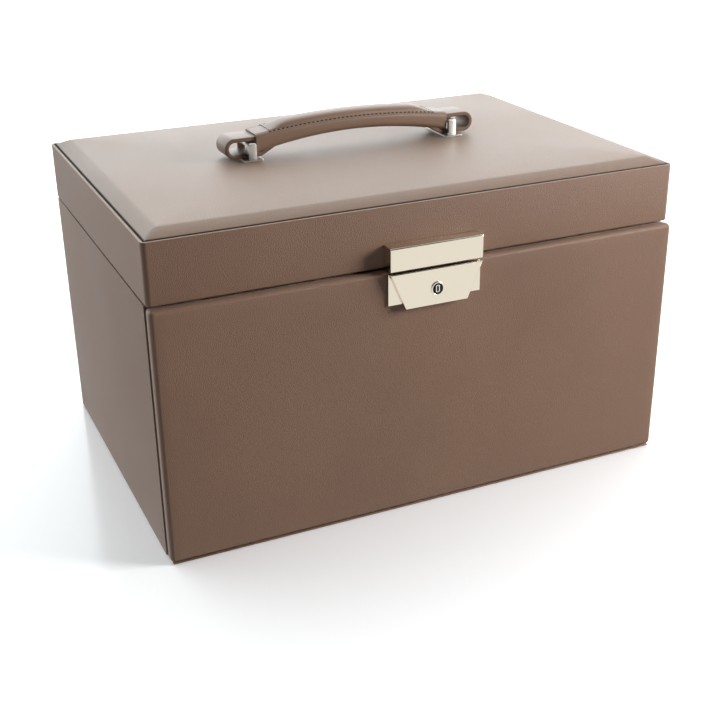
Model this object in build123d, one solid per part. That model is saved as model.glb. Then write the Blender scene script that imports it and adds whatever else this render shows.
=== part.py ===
from build123d import *
import os

# Leather jewellery case: padded lid on two stop hinges, drop-front flap, key lock, top handle.
# Millimetres. Origin: centre of the underside. +X right, +Y to the back, +Z up.

# ---- driving dimensions -------------------------------------------------------------------
case_width = 318.0        # over the leather, left to right
case_depth = 218.0        # lid face to back face
carcass_top = 149.5       # top of the carcass leather
seam_gap = 1.0            # between carcass and lid
lid_height = 34.1         # lid side band, seam to rim
corner_radius = 3.0       # vertical outer corners
edge_radius = 1.0         # small rounded leather edges

# ---- sheet and board thicknesses ----------------------------------------------------------
leather = 1.2
suede = 0.8
felt = 0.6
base_leather_t = 0.6      # skived thin where it becomes the flap's live hinge
wall_board = 5.0
base_board_t = 6.0
shelf_board = 3.0
lid_wall_board = 4.0
lid_top_board = 3.0

# ---- front flap ---------------------------------------------------------------------------
flap_proud = 4.5          # flap face stands this far in front of the lid face
flap_thickness = 8.5
flap_gap = 2.5            # flap back to carcass front edge
flap_lift = 0.3           # flap bottom above the base leather
flap_top_gap = 1.0        # flap top below the lid
flap_edge_width = 3.8     # wrapped edge of the backing board
flap_edge_step = 0.4      # backing board edge sits in from the padded face
flap_corner = 2.5
flap_face_round = 1.25
hinge_line_in = 0.3       # live hinge line, in from the flap face
hinge_line_drop = 0.3     # live hinge line, below the top of the base leather
base_lip = 0.6            # base leather stops short of the flap face

# ---- interior -----------------------------------------------------------------------------
tray_depth = 37.3         # top compartment, floor to board tops
front_inset = 1.2         # tray front board behind the carcass front edge
tray_front_t = 4.0
partition_t = 3.0
partition_x = 12.0        # centre of the partition between rolls and compartments
cross_partition_y = 6.0
partition_drop = 8.0      # partitions stop below the tray front
ring_roll_count = 8
ring_roll_gap = 0.4
ring_roll_height = 19.0
ring_roll_round = 5.0
drawer_side_gap = 0.6
drawer_top_gap = 0.9
drawer_bottom_gap = 0.3
drawer_back_gap = 4.0
drawer_setback = 3.0      # drawer faces behind the carcass front edge
drawer_front_t = 5.0
drawer_wall = 3.0
drawer_floor = 2.5
drawer_wall_drop = 6.0    # drawer sides stop below the drawer face top
pull_width = 16.0
pull_height = 13.0
pull_reach = 3.4
pull_strap = 1.3
pull_round = 2.0

# ---- lid ----------------------------------------------------------------------------------
rim_width = 1.4
groove_width = 1.0
bevel_width = 9.0
bevel_height = 3.7
pad_slope = 14.0
pad_crown = 2.3
pad_corner = 2.0
mirror_margin = 10.0      # frame to the lid lining, all round
mirror_frame_t = 4.0
mirror_border = 7.0       # frame beyond the glass
mirror_t = 2.0
mirror_lip = 5.0
mirror_fit = 0.2

# ---- lid hinges ---------------------------------------------------------------------------
hinge_length = 44.0
hinge_x = 105.0
barrel_radius = 2.0
barrel_clear = 0.3
pin_radius = 0.95
pin_fit = 0.05
knuckles = 5
knuckle_gap = 0.3
leaf_t = 1.0
leaf_depth = 5.6
leaf_gap = 0.2
hinge_screw = 0.9
hinge_screw_head = 1.7
hinge_screw_head_t = 0.8
hinge_screw_length = 10.0
hinge_screws = 3

# ---- lock ---------------------------------------------------------------------------------
lock_width = 56.4
block_height = 13.4
block_depth = 9.0
block_wall = 1.5
block_edge = 0.8
lever_top_gap = 1.4       # lever top below the lid block
lever_height = 21.1
lever_foot = 38.0
lever_plate = 1.6
lever_wall = 1.1
lever_wall_depth = 1.4    # side walls reach behind the plate
lever_edge = 0.5
lock_plate_t = 1.2
lock_plate_height = 18.6
lever_to_plate = 1.7      # back of the lever plate to the front of the lock plate
latch_pin_radius = 0.6
latch_pin_fit = 0.05
latch_pin_drop = 1.2      # pin below the lever top
latch_pin_in = 0.5        # pin behind the lever plate
latch_knuckle = 1.1
ear_width = 3.0
ear_inset = 3.0
ear_clear = 0.3
barrel_drop = 11.8        # key barrel below the lever top
key_barrel_radius = 3.1
key_barrel_fit = 0.05
key_barrel_proud = 0.3
ring_outer = 3.9
ring_proud = 0.5
key_slot = (3.2, 0.9)
key_slot_depth = 1.2
cam_length = 6.4
cam_width = 3.0
cam_t = 0.7
lock_post_x = 20.0         # posts inside the lid block

# ---- handle -------------------------------------------------------------------------------
bracket_x = 65.4
bracket_plate = (12.0, 28.0, 1.0)
leg_thickness = 2.2       # along Y
leg_width = 4.8           # along X
bracket_height = 9.2
bar_t = 2.2
strap_width = 17.0
strap_t = 2.5
strap_side_gap = 0.8
strap_gap = 0.3           # strap above the bracket plate
loop_out = 15.6           # strap loop, outboard of the bracket
loop_in = 17.0            # and inboard of it, inside the grip
loop_height = 12.1
loop_radius = 5.9
loop_rise = 6.0           # lower strand climbs this far to the grip
loop_flat = 6.5           # and starts to climb this far inboard
loop_end_radius = 0.8
grip_to_bracket = 0.8     # grip end inboard of the bracket bar
grip_side = 1.5           # grip cover beside the strap
grip_end_bottom = 3.2     # above the pad top
grip_end_top = 14.4
grip_mid_bottom = 10.6
grip_mid_top = 22.2
grip_edge = 2.0
core_t = 2.4
core_width = 14.0
core_gap = 2.0            # core ends short of the strap loops
bolt_radius = 1.5
bolt_y = 7.0
backing_plate = (16.0, 24.0, 1.0)

# ---- places worked out from the sizes above -----------------------------------------------
half_w = case_width / 2
half_d = case_depth / 2
base_leather_z = felt
base_z = base_leather_z + base_leather_t
floor_z = base_z + base_board_t
board_top = carcass_top - leather
lid_bottom = carcass_top + seam_gap
rim_z = lid_bottom + lid_height
flap_front = -half_d - flap_proud
flap_back = flap_front + flap_thickness
carcass_front = flap_back + flap_gap
board_front = carcass_front + leather
inner_w = half_w - leather - wall_board
inner_back = half_d - leather - wall_board
room_w = inner_w - suede
room_back = inner_back - suede
flap_bottom = base_z + flap_lift
flap_top = lid_bottom - flap_top_gap
tray_floor_top = board_top - tray_depth
tray_floor_z = tray_floor_top - shelf_board
drawer_bay = (tray_floor_z - floor_z - shelf_board) / 2
divider_z = floor_z + drawer_bay
hinge_y = half_d + barrel_radius + barrel_clear
hinge_z = carcass_top + seam_gap / 2
top_board_z = rim_z - leather - lid_top_board
lid_inner_w = half_w - leather - lid_wall_board
lid_inner_d = half_d - leather - lid_wall_board
pad_base_z = rim_z - leather
pad_w = half_w - rim_width - groove_width
pad_d = half_d - rim_width - groove_width
bevel_z = rim_z + bevel_height
pad_top = bevel_z + pad_crown
lever_front = flap_front - lock_plate_t - lever_to_plate - lever_plate
lever_back = lever_front + lever_plate
lever_top = lid_bottom - lever_top_gap
lock_plate_front = flap_front - lock_plate_t
latch_y = lever_back + latch_pin_in
latch_z = lever_top - latch_pin_drop
barrel_z = lever_top - barrel_drop
flap_axis_y = flap_front + hinge_line_in
flap_axis_z = base_z - hinge_line_drop
bar_top = pad_top + bracket_plate[2] + bracket_height
loop_bottom = pad_top + bracket_plate[2] + strap_gap
grip_half = bracket_x - leg_width / 2 - grip_to_bracket
grip_width = strap_width + 2 * grip_side


def box(x0, x1, y0, y1, z0, z1):
    """A block between two corners."""
    centre = ((x0 + x1) / 2, (y0 + y1) / 2, (z0 + z1) / 2)
    return Pos(*centre) * Box(x1 - x0, y1 - y0, z1 - z0)


def rounded_block(x, y0, y1, z0, z1, radius, front_round=True):
    """A block centred on X, with rounded upright edges, at the back only if asked."""
    block = box(-x, x, y0, y1, z0, z1)
    edges = block.edges().filter_by(Axis.Z)
    if not front_round:
        edges = edges.filter_by(lambda e: e.center().Y > (y0 + y1) / 2)
    return fillet(edges, radius)


def rod(radius, length, centre, axis="X"):
    """A cylinder centred on a point, along X, Y or Z."""
    turn = {"X": Rot(0, 90, 0), "Y": Rot(90, 0, 0), "Z": Rot(0, 0, 0)}[axis]
    return Pos(*centre) * turn * Cylinder(radius, length)


def frustum(x0, y0, z0, x1, y1, z1, radius):
    """A straight-sided block whose top is smaller than its foot."""
    foot = Pos(0, 0, z0) * RectangleRounded(2 * x0, 2 * y0, radius)
    head = Pos(0, 0, z1) * RectangleRounded(2 * x1, 2 * y1, radius)
    return loft([foot, head], ruled=True)


def group(solids):
    """Separate solids of one kind in one node."""
    return Compound(children=list(solids))


# ---- carcass ------------------------------------------------------------------------------
def carcass_boards():
    sides = {}
    for name, side in (("left", -1), ("right", 1)):
        x = sorted((side * inner_w, side * (inner_w + wall_board)))
        sides[f"side_board_{name}"] = box(*x, board_front, inner_back, floor_z, board_top)
    outer = inner_w + wall_board
    back = box(-outer, outer, inner_back, inner_back + wall_board, floor_z, board_top)
    sides["back_board"] = back - hinge_recesses(carcass_leaf_z(), leaf_t)
    sides["base_board"] = box(-outer, outer, board_front, inner_back + wall_board, base_z, floor_z)
    return sides


def carcass_cover():
    """Outer leather: back and sides, turned over the top edges and round the front edges."""
    outer = inner_w + wall_board
    skin = rounded_block(half_w, carcass_front, half_d, base_z, carcass_top, corner_radius, False)
    skin -= box(-inner_w, inner_w, carcass_front, inner_back, base_z, carcass_top)
    skin -= box(-outer, outer, board_front, inner_back + wall_board, base_z, board_top)
    return skin - hinge_recesses(carcass_leaf_z(), leaf_t)


def carcass_lining():
    skin = box(-inner_w, inner_w, board_front, inner_back, floor_z, board_top)
    return skin - box(-room_w, room_w, board_front, room_back, floor_z, board_top)


def base_pieces():
    under = box(-half_w + leather, half_w - leather, flap_front + base_lip, half_d - leather,
                base_leather_z, base_z)
    pad = box(-inner_w, inner_w, carcass_front, inner_back, 0, felt)
    return {"base_leather": under, "base_felt": pad}


# ---- interior -----------------------------------------------------------------------------
def shelves():
    front = board_front + front_inset
    floor = box(-room_w, room_w, front, room_back, tray_floor_z, tray_floor_top)
    wall = box(-room_w, room_w, front, front + tray_front_t, tray_floor_top, board_top)
    divider = box(-room_w, room_w, front, room_back, divider_z, divider_z + shelf_board)
    return {"tray_floor": floor, "tray_front_board": wall, "drawer_divider": divider}


def tray_room():
    """Clear inside of the top compartment, inside its suede."""
    front = board_front + front_inset + tray_front_t + suede
    return (-room_w + suede, room_w - suede, front, room_back - suede, tray_floor_top + suede)


def tray_pieces():
    x0, x1, y0, y1, z0 = tray_room()
    skin = box(x0 - suede, x1 + suede, y0 - suede, y1 + suede, z0 - suede, board_top)
    skin -= box(x0, x1, y0, y1, z0, board_top)
    wall_top = board_top - partition_drop
    long_wall = box(partition_x - partition_t / 2, partition_x + partition_t / 2, y0, y1, z0, wall_top)
    cross = box(partition_x + partition_t / 2, x1, cross_partition_y - partition_t / 2,
                cross_partition_y + partition_t / 2, z0, wall_top)
    pitch = (y1 - y0) / ring_roll_count
    rolls = []
    for i in range(ring_roll_count):
        start = y0 + i * pitch
        roll = box(x0 + ring_roll_gap, partition_x - partition_t / 2 - ring_roll_gap,
                   start + ring_roll_gap / 2, start + pitch - ring_roll_gap / 2,
                   z0, z0 + ring_roll_height)
        rolls.append(fillet(roll.edges().filter_by(Axis.X).group_by(Axis.Z)[-1], ring_roll_round))
    return {"tray_lining": skin, "tray_partition": long_wall, "tray_cross_partition": cross,
            "ring_rolls": group(rolls)}


def drawer(name, bay_z):
    """Face, box, suede lining and leather pull of one drawer."""
    x = room_w - drawer_side_gap
    y0 = carcass_front + drawer_setback
    y1 = room_back - drawer_back_gap
    z0 = bay_z + drawer_bottom_gap
    z1 = bay_z + drawer_bay - drawer_top_gap
    y_box = y0 + drawer_front_t
    rim = z1 - drawer_wall_drop
    face = fillet(box(-x, x, y0, y_box, z0, z1).edges().group_by(Axis.Y)[0], edge_radius)
    body = box(-x, x, y_box, y1, z0, rim)
    inner = (-x + drawer_wall, x - drawer_wall, y_box + drawer_wall, y1 - drawer_wall)
    body -= box(*inner, z0 + drawer_floor, rim)
    lining = box(*inner, z0 + drawer_floor, rim)
    lining -= box(inner[0] + suede, inner[1] - suede, inner[2] + suede, inner[3] - suede,
                  z0 + drawer_floor + suede, rim)
    middle = (z0 + z1) / 2
    loop = box(-pull_width / 2, pull_width / 2, y0 - pull_reach, y0,
               middle - pull_height / 2, middle + pull_height / 2)
    loop = fillet(loop.edges().filter_by(Axis.X).group_by(Axis.Y)[0], pull_round)
    hole = box(-pull_width / 2, pull_width / 2, y0 - pull_reach + pull_strap, y0,
               middle - pull_height / 2 + pull_strap, middle + pull_height / 2 - pull_strap)
    return {f"drawer_front_{name}": face, f"drawer_box_{name}": body,
            f"drawer_lining_{name}": lining, f"drawer_pull_{name}": loop - hole}


# ---- lid ----------------------------------------------------------------------------------
def lid_boards():
    outer_w = lid_inner_w + lid_wall_board
    outer_d = lid_inner_d + lid_wall_board
    z0 = lid_bottom + leather
    boards = {"lid_board_top": box(-outer_w, outer_w, -outer_d, outer_d, top_board_z, pad_base_z)}
    for name, side in (("left", -1), ("right", 1)):
        x = sorted((side * lid_inner_w, side * outer_w))
        boards[f"lid_board_{name}"] = box(*x, -lid_inner_d, lid_inner_d, z0, top_board_z)
    for name, side in (("front", -1), ("back", 1)):
        y = sorted((side * lid_inner_d, side * outer_d))
        boards[f"lid_board_{name}"] = box(-outer_w, outer_w, *y, z0, top_board_z)
    boards["lid_board_back"] -= hinge_recesses(lid_leaf_z(), leaf_t)
    boards["lid_board_top"] -= bracket_bolt_holes()
    return boards


def lid_cover():
    """Side band of the lid, turned under at the seam and over at the rim."""
    outer_w = lid_inner_w + lid_wall_board
    outer_d = lid_inner_d + lid_wall_board
    band = rounded_block(half_w, -half_d, half_d, lid_bottom, rim_z, corner_radius)
    band = fillet(band.edges().group_by(Axis.Z)[0], edge_radius)
    band -= box(-lid_inner_w, lid_inner_w, -lid_inner_d, lid_inner_d, lid_bottom, top_board_z)
    band -= box(-outer_w, outer_w, -outer_d, outer_d, lid_bottom + leather, pad_base_z)
    rim_w = half_w - rim_width
    rim_d = half_d - rim_width
    band -= box(-rim_w, rim_w, -rim_d, rim_d, pad_base_z, rim_z)
    return band - hinge_recesses(lid_leaf_z(), leaf_t)


def pad_shape(skin):
    """Padded top, smaller all round by the thickness given."""
    w, d = pad_w - skin, pad_d - skin
    w2, d2 = w - bevel_width, d - bevel_width
    top = pad_top - skin
    step = bevel_z - skin
    low = frustum(w, d, pad_base_z, w2, d2, step, pad_corner)
    high = frustum(w2, d2, step, w2 - pad_slope, d2 - pad_slope, top, pad_corner)
    return low + high


def lid_padding():
    foam = pad_shape(leather)
    skin = pad_shape(0) - foam
    return {"lid_foam": foam - bracket_bolt_holes(), "lid_pad_leather": skin - bracket_bolt_holes()}


def lid_inside():
    z1 = top_board_z
    z0 = lid_bottom + leather
    skin = box(-lid_inner_w, lid_inner_w, -lid_inner_d, lid_inner_d, z0, z1)
    skin -= box(-lid_inner_w + suede, lid_inner_w - suede, -lid_inner_d + suede,
                lid_inner_d - suede, z0, z1 - suede)
    for plate in backing_plates():
        skin -= plate
    ceiling = z1 - suede - backing_plate[2]
    frame_x = lid_inner_w - suede - mirror_margin
    frame_y = lid_inner_d - suede - mirror_margin
    glass_x, glass_y = frame_x - mirror_border, frame_y - mirror_border
    glass = box(-glass_x, glass_x, -glass_y, glass_y, ceiling - mirror_t, ceiling)
    frame = box(-frame_x, frame_x, -frame_y, frame_y, ceiling - mirror_frame_t, ceiling)
    frame -= box(-glass_x - mirror_fit, glass_x + mirror_fit, -glass_y - mirror_fit,
                 glass_y + mirror_fit, ceiling - mirror_t - mirror_fit, ceiling)
    frame -= box(-glass_x + mirror_lip, glass_x - mirror_lip, -glass_y + mirror_lip,
                 glass_y - mirror_lip, ceiling - mirror_frame_t, ceiling)
    return {"lid_lining": skin, "mirror_glass": glass, "mirror_frame": frame}


# ---- lid hinges ---------------------------------------------------------------------------
def carcass_leaf_z():
    return hinge_z - leaf_gap / 2 - leaf_t


def lid_leaf_z():
    return hinge_z + leaf_gap / 2


def hinge_recesses(z0, height):
    """Slots for the leaves in the top of the carcass back or the bottom of the lid back."""
    slots = [box(x - hinge_length / 2, x + hinge_length / 2, half_d - leaf_depth, half_d,
                 z0, z0 + height) for x in (-hinge_x, hinge_x)]
    holes = screw_shanks(z0, height)
    return slots + holes


def screw_places():
    step = hinge_length / hinge_screws
    first = -hinge_length / 2 + step / 2
    return [hx + first + i * step for hx in (-hinge_x, hinge_x) for i in range(hinge_screws)]


def screw_shanks(z0, height):
    """Screw bodies, down into the carcass or up into the lid."""
    down = z0 < hinge_z - leaf_gap
    y = half_d - leather - lid_wall_board / 2
    sign = -1 if down else 1
    face = z0 + height if down else z0
    centre = face + sign * hinge_screw_length / 2
    return [rod(hinge_screw, hinge_screw_length, (x, y, centre), "Z") for x in screw_places()]


def screws(z0, height):
    """Countersunk hinge screws."""
    down = z0 < hinge_z - leaf_gap
    y = half_d - leather - lid_wall_board / 2
    face = z0 + height if down else z0
    turn = Rot(0, 0, 0) if down else Rot(180, 0, 0)
    sign = -1 if down else 1
    made = []
    for shank, x in zip(screw_shanks(z0, height), screw_places()):
        head = turn * Cone(hinge_screw, hinge_screw_head, hinge_screw_head_t)
        made.append(shank + Pos(x, y, face + sign * hinge_screw_head_t / 2) * head)
    return made


def knuckle_spans(first, last=knuckles):
    """X spans of every second knuckle, about the middle of one hinge."""
    step = hinge_length / knuckles
    starts = [-hinge_length / 2 + i * step for i in range(first, last, 2)]
    return [(s + knuckle_gap / 2, s + step - knuckle_gap / 2) for s in starts]


def hinge_half(hx, z0, first):
    """One leaf with its knuckles."""
    half = hinge_length / 2
    leaf = box(hx - half, hx + half, half_d - leaf_depth, half_d, z0, z0 + leaf_t)
    for a, b in knuckle_spans(first):
        middle = hx + (a + b) / 2
        leaf += box(hx + a, hx + b, half_d, hinge_y, z0, z0 + leaf_t)
        leaf += rod(barrel_radius, b - a, (middle, hinge_y, hinge_z))
    leaf -= rod(pin_radius + pin_fit, hinge_length, (hx, hinge_y, hinge_z))
    return leaf


def hinges():
    low, high = carcass_leaf_z(), lid_leaf_z()
    low_screws, high_screws = screws(low, leaf_t), screws(high, leaf_t)
    low_leaves = [hinge_half(x, low, 0) - low_screws for x in (-hinge_x, hinge_x)]
    high_leaves = [hinge_half(x, high, 1) - high_screws for x in (-hinge_x, hinge_x)]
    pins = [rod(pin_radius, hinge_length, (x, hinge_y, hinge_z)) for x in (-hinge_x, hinge_x)]
    return {"hinge_leaves_carcass": group(low_leaves), "hinge_leaves_lid": group(high_leaves),
            "hinge_pins": group(pins), "hinge_screws_carcass": group(low_screws),
            "hinge_screws_lid": group(high_screws)}


# ---- flap ---------------------------------------------------------------------------------
def flap_pieces():
    edge_front = flap_back - flap_edge_width
    w, z0, z1 = half_w, flap_bottom, flap_top
    block = box(-w, w, flap_front, edge_front, z0, z1)
    block = fillet(block.edges().filter_by(Axis.Y), flap_corner)
    front_edges = block.edges().group_by(Axis.Y)[0]
    block = fillet(front_edges, flap_face_round)
    foam = box(-w + leather, w - leather, flap_front + leather, edge_front, z0 + leather, z1 - leather)
    foam = fillet(foam.edges().filter_by(Axis.Y), flap_corner - leather)
    inset = leather + flap_edge_step
    lining_y = flap_back - suede
    s = flap_edge_step
    band = box(-w + s, w - s, edge_front, flap_back, z0 + s, z1 - s)
    band = fillet(band.edges().filter_by(Axis.Y), flap_corner - s)
    panel = box(-w + inset, w - inset, edge_front, flap_back, z0 + inset, z1 - inset)
    board = box(-w + inset, w - inset, edge_front, lining_y, z0 + inset, z1 - inset)
    lining = box(-w + inset, w - inset, lining_y, flap_back, z0 + inset, z1 - inset)
    return {"flap_leather": block - foam, "flap_foam": foam, "flap_edge_leather": band - panel,
            "flap_board": board, "flap_lining": lining}


# ---- lock ---------------------------------------------------------------------------------
def lock_block():
    """Hollow upper lock housing, open below and behind."""
    y0, y1 = -half_d - block_depth, -half_d
    x = lock_width / 2
    shell = box(-x, x, y0, y1, lid_bottom, lid_bottom + block_height)
    shell = fillet(shell.edges().group_by(Axis.Y)[0], block_edge)
    hollow = box(-x + block_wall, x - block_wall, y0 + block_wall, y1,
                 lid_bottom, lid_bottom + block_height - block_wall)
    posts = [box(px - block_wall, px + block_wall, y0 + block_wall, y1,
                 lid_bottom + block_height - 3 * block_wall, lid_bottom + block_height - block_wall)
             for px in (-lock_post_x, lock_post_x)]
    return shell - hollow + posts


def catch_plate():
    """Steel catch on the lid face inside the housing."""
    x = lock_post_x - 2 * block_wall
    return box(-x, x, -half_d - block_wall, -half_d, lid_bottom + block_wall,
               lid_bottom + block_height / 2)


def ear_spans():
    outer = lock_width / 2 - ear_inset
    return [(-outer, -outer + ear_width), (outer - ear_width, outer)]


def lock_plate():
    """Plate on the flap with two ears for the latch pin."""
    x = lock_width / 2
    top = latch_z + latch_knuckle / 2
    plate = box(-x, x, lock_plate_front, flap_front, lever_top - lock_plate_height, top)
    for a, b in ear_spans():
        plate += box(a, b, latch_y, lock_plate_front, latch_z - latch_knuckle, top)
        plate += rod(latch_knuckle, b - a, ((a + b) / 2, latch_y, latch_z))
    inner = ear_spans()[1][0] - ear_clear
    room = latch_knuckle + ear_clear
    plate -= rod(room, 2 * inner, (0, latch_y, latch_z))
    return plate - rod(latch_pin_radius, 2 * x, (0, latch_y, latch_z))


def lock_lever():
    """Tapered lever: front plate, side walls, knuckle round the pin."""
    top, foot = lever_top, lever_top - lever_height
    w, f = lock_width / 2, lever_foot / 2
    outline = Polyline((-w, top), (w, top), (f, foot), (-f, foot), close=True)
    face = Plane(origin=(0, lever_front, 0), x_dir=(1, 0, 0), z_dir=(0, -1, 0))
    solid = extrude(face * make_face(outline), -lever_plate - lever_wall_depth)
    solid = fillet(solid.edges().group_by(Axis.Y)[0], lever_edge)
    inset = offset(make_face(outline), -lever_wall, kind=Kind.INTERSECTION)
    back = Plane(origin=(0, lever_back, 0), x_dir=(1, 0, 0), z_dir=(0, -1, 0))
    solid -= extrude(back * inset, -lever_wall_depth)
    clear_z = latch_z - latch_knuckle - ear_clear
    solid -= box(-w, w, lever_back, flap_front, clear_z, top)
    inner = ear_spans()[1][0] - ear_clear
    solid += rod(latch_knuckle, 2 * inner, (0, latch_y, latch_z))
    for a, b in ear_spans():
        solid -= rod(latch_knuckle + ear_clear, b - a + 2 * ear_clear, ((a + b) / 2, latch_y, latch_z))
    solid -= rod(latch_pin_radius + latch_pin_fit, lock_width, (0, latch_y, latch_z))
    solid -= rod(key_barrel_radius + key_barrel_fit, lever_plate * 2,
                 (0, (lever_front + lever_back) / 2, barrel_z), "Y")
    return solid


def key_parts():
    """Escutcheon ring, key barrel with its slot, and the cam behind it."""
    front = lever_front - key_barrel_proud
    cam_back = lever_back + cam_t
    length = lever_back - front
    barrel = rod(key_barrel_radius, length, (0, (front + lever_back) / 2, barrel_z), "Y")
    sx, sz = key_slot
    barrel -= box(-sz / 2, sz / 2, front, front + key_slot_depth, barrel_z - sx / 2, barrel_z + sx / 2)
    ring = rod(ring_outer, ring_proud, (0, lever_front - ring_proud / 2, barrel_z), "Y")
    ring -= rod(key_barrel_radius + key_barrel_fit, 2 * ring_proud,
                (0, lever_front - ring_proud / 2, barrel_z), "Y")
    cam = box(cam_width / 2 - cam_length, cam_width / 2, lever_back, cam_back,
              barrel_z - cam_width / 2, barrel_z + cam_width / 2)
    return {"lock_barrel": barrel, "barrel_ring": ring, "lock_cam": cam}


def latch_pin():
    x = ear_spans()[1][1]
    return rod(latch_pin_radius, 2 * x, (0, latch_y, latch_z))


# ---- handle -------------------------------------------------------------------------------
def bracket(side):
    """Staple bracket: foot plate, two legs and the bar that the strap passes under."""
    px, py, pt = bracket_plate
    x = side * bracket_x
    z0, z1 = pad_top, bar_top
    inner = strap_width / 2 + strap_side_gap
    outer = inner + leg_thickness
    plate = box(x - px / 2, x + px / 2, -py / 2, py / 2, z0, z0 + pt)
    plate = fillet(plate.edges().filter_by(Axis.Z), pt)
    hoop = box(x - leg_width / 2, x + leg_width / 2, -outer, outer, z0 + pt, z1)
    hoop -= box(x - leg_width / 2, x + leg_width / 2, -inner, inner, z0 + pt, z1 - bar_t)
    hoop = fillet(hoop.edges().group_by(Axis.Z)[-1], edge_radius)
    whole = plate + hoop
    return whole - [rod(bolt_radius, 2 * pt, (x, y, z0 + pt / 2), "Z") for y in (-bolt_y, bolt_y)]


def bracket_bolt_holes():
    z0 = top_board_z - backing_plate[2]
    height = pad_top - z0
    return [rod(bolt_radius, height, (sx * bracket_x, sy * bolt_y, z0 + height / 2), "Z")
            for sx in (-1, 1) for sy in (-1, 1)]


def bracket_bolts():
    """Bolts from the bracket plate down to the backing plate inside the lid."""
    z0 = top_board_z - backing_plate[2]
    z1 = pad_top + bracket_plate[2]
    made = []
    for sx in (-1, 1):
        for sy in (-1, 1):
            shank = rod(bolt_radius, z1 - z0, (sx * bracket_x, sy * bolt_y, (z0 + z1) / 2), "Z")
            made.append(shank)
    return made


def backing_plates():
    px, py, pt = backing_plate
    z0 = top_board_z - pt
    return [box(sx * bracket_x - px / 2, sx * bracket_x + px / 2, -py / 2, py / 2, z0, z0 + pt)
            for sx in (-1, 1)]


def loop_face():
    """Filled side view of the right strap loop: round outboard, tapering up into the grip."""
    corners = [(-loop_in, loop_rise), (-loop_flat, 0), (loop_out, 0), (loop_out, loop_height),
               (-loop_in, loop_height)]
    face = make_face(Polyline(*corners, close=True))
    outer = face.vertices().sort_by(Axis.X)[-2:]
    face = fillet(outer, loop_radius)
    bend = face.vertices().sort_by_distance((-loop_flat, 0, 0))[0]
    face = fillet(bend, loop_radius)
    return fillet(face.vertices().group_by(Axis.X)[0], loop_end_radius)


def strap_loop(side, hollow=True):
    """One strap loop, or the space that it fills."""
    shape = loop_face()
    if hollow:
        shape -= offset(loop_face(), -strap_t, kind=Kind.INTERSECTION)
    ring = extrude(Rot(90, 0, 0) * shape, strap_width)
    ring = Pos(bracket_x, strap_width / 2, loop_bottom) * ring
    return ring if side > 0 else mirror(ring, about=Plane.YZ)


def grip_body():
    """Arched grip between the loops."""
    low_end, high_end = pad_top + grip_end_bottom, pad_top + grip_end_top
    low_mid, high_mid = pad_top + grip_mid_bottom, pad_top + grip_mid_top
    h = grip_half
    outline = [ThreePointArc((-h, high_end), (0, high_mid), (h, high_end)),
               Line((h, high_end), (h, low_end)),
               ThreePointArc((h, low_end), (0, low_mid), (-h, low_end)),
               Line((-h, low_end), (-h, high_end))]
    plane = Plane(origin=(0, grip_width / 2, 0), x_dir=(1, 0, 0), z_dir=(0, -1, 0))
    solid = extrude(plane * make_face(outline), grip_width)
    return fillet(solid.edges().filter_by(lambda e: e.length > h), grip_edge)


def grip_core():
    """Spring steel strip inside the grip."""
    middle = pad_top + (grip_mid_bottom + grip_mid_top) / 2
    end = pad_top + (grip_end_bottom + grip_end_top) / 2 + core_t
    c = bracket_x - loop_in - core_gap
    outline = [ThreePointArc((-c, end + core_t / 2), (0, middle + core_t / 2), (c, end + core_t / 2)),
               Line((c, end + core_t / 2), (c, end - core_t / 2)),
               ThreePointArc((c, end - core_t / 2), (0, middle - core_t / 2), (-c, end - core_t / 2)),
               Line((-c, end - core_t / 2), (-c, end + core_t / 2))]
    plane = Plane(origin=(0, core_width / 2, 0), x_dir=(1, 0, 0), z_dir=(0, -1, 0))
    return extrude(plane * make_face(outline), core_width)


def handle_pieces():
    core = grip_core()
    grip = grip_body() - core
    for side in (-1, 1):
        grip -= strap_loop(side, hollow=False)
    return {"handle_grip": grip, "handle_core": core, "handle_loop_left": strap_loop(-1),
            "handle_loop_right": strap_loop(1)}


# ---- everything ---------------------------------------------------------------------------
def all_pieces():
    parts = {}
    parts.update(base_pieces())
    parts.update(carcass_boards())
    parts["carcass_leather"] = carcass_cover()
    parts["carcass_lining"] = carcass_lining()
    parts.update(shelves())
    parts.update(tray_pieces())
    parts.update(drawer("lower", floor_z))
    parts.update(drawer("upper", divider_z + shelf_board))
    parts.update(lid_boards())
    parts["lid_leather"] = lid_cover()
    parts.update(lid_padding())
    parts.update(lid_inside())
    parts.update(hinges())
    parts.update(flap_pieces())
    parts["lock_block"] = lock_block()
    parts["catch_plate"] = catch_plate()
    parts["lock_plate"] = lock_plate()
    parts["lock_lever"] = lock_lever()
    parts["latch_pin"] = latch_pin()
    parts.update(key_parts())
    parts["handle_bracket_left"] = bracket(-1)
    parts["handle_bracket_right"] = bracket(1)
    parts["bracket_bolts"] = group(bracket_bolts())
    parts["bracket_backing_plates"] = group(
        plate - bracket_bolt_holes() for plate in backing_plates())
    parts.update(handle_pieces())
    return parts


os.makedirs("parts", exist_ok=True)
for node, shape in all_pieces().items():
    export_step(shape, f"parts/{node}.step")
    print(f"{node:24s} {shape.volume:10.1f} mm3")
print("lid hinge axis", round(hinge_y, 3), round(hinge_z, 3))
print("flap hinge axis", round(flap_axis_y, 3), round(flap_axis_z, 3))
print("latch pin axis", round(latch_y, 3), round(latch_z, 3))
print("key barrel axis z", round(barrel_z, 3))
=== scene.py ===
# %% [markdown]
# A leather jewellery case: padded lid, drop-front flap, key lock and top handle.
# The engineering model is loaded first as a fixed frame. Every piece made here takes its
# place from that frame, so nothing has to be fitted by eye afterwards.

# %% Load the frame
import math
import bpy
import bmesh
from mathutils import Matrix, Vector


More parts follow.
